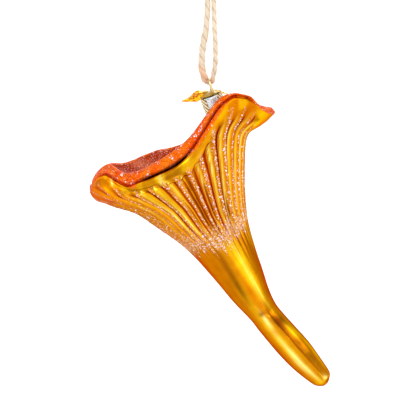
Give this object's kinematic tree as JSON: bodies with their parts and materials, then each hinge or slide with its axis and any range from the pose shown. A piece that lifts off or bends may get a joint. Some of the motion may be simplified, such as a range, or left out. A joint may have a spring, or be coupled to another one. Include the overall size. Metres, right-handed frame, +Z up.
{
  "type": "glass mushroom ornament",
  "caption": "Hanging ornament of blown glass in the shape of a ribbed funnel mushroom, with a metal crown, a wire hanger, a leaf trim and a twine loop.",
  "frame": {"origin": "top of the wire hanger's eye, on the underside of the wire, where the twine bears", "axes": "+Z up as it hangs, +X to the right of the front view, towards the stem's tip, +Y from the front to the back"},
  "size_m": [0.1039, 0.0576, 0.1804],
  "materials": {
    "lacquered_glass": "gloss lacquer over silvered glass, with glitter on the gills and the rolled rim",
    "crown_metal": "bright stamped",
    "hanger_wire": "bright drawn",
    "trim_foil": "painted foil with glitter",
    "twine": "natural jute, two-ply"
  },
  "bodies": {
    "root": {"glass_body": "lacquered_glass", "crown_cap": "crown_metal", "wire_hanger": "hanger_wire", "leaf_trim": "trim_foil", "twine_loop": "twine", "twine_knot": "twine"}
  },
  "joints": []
}
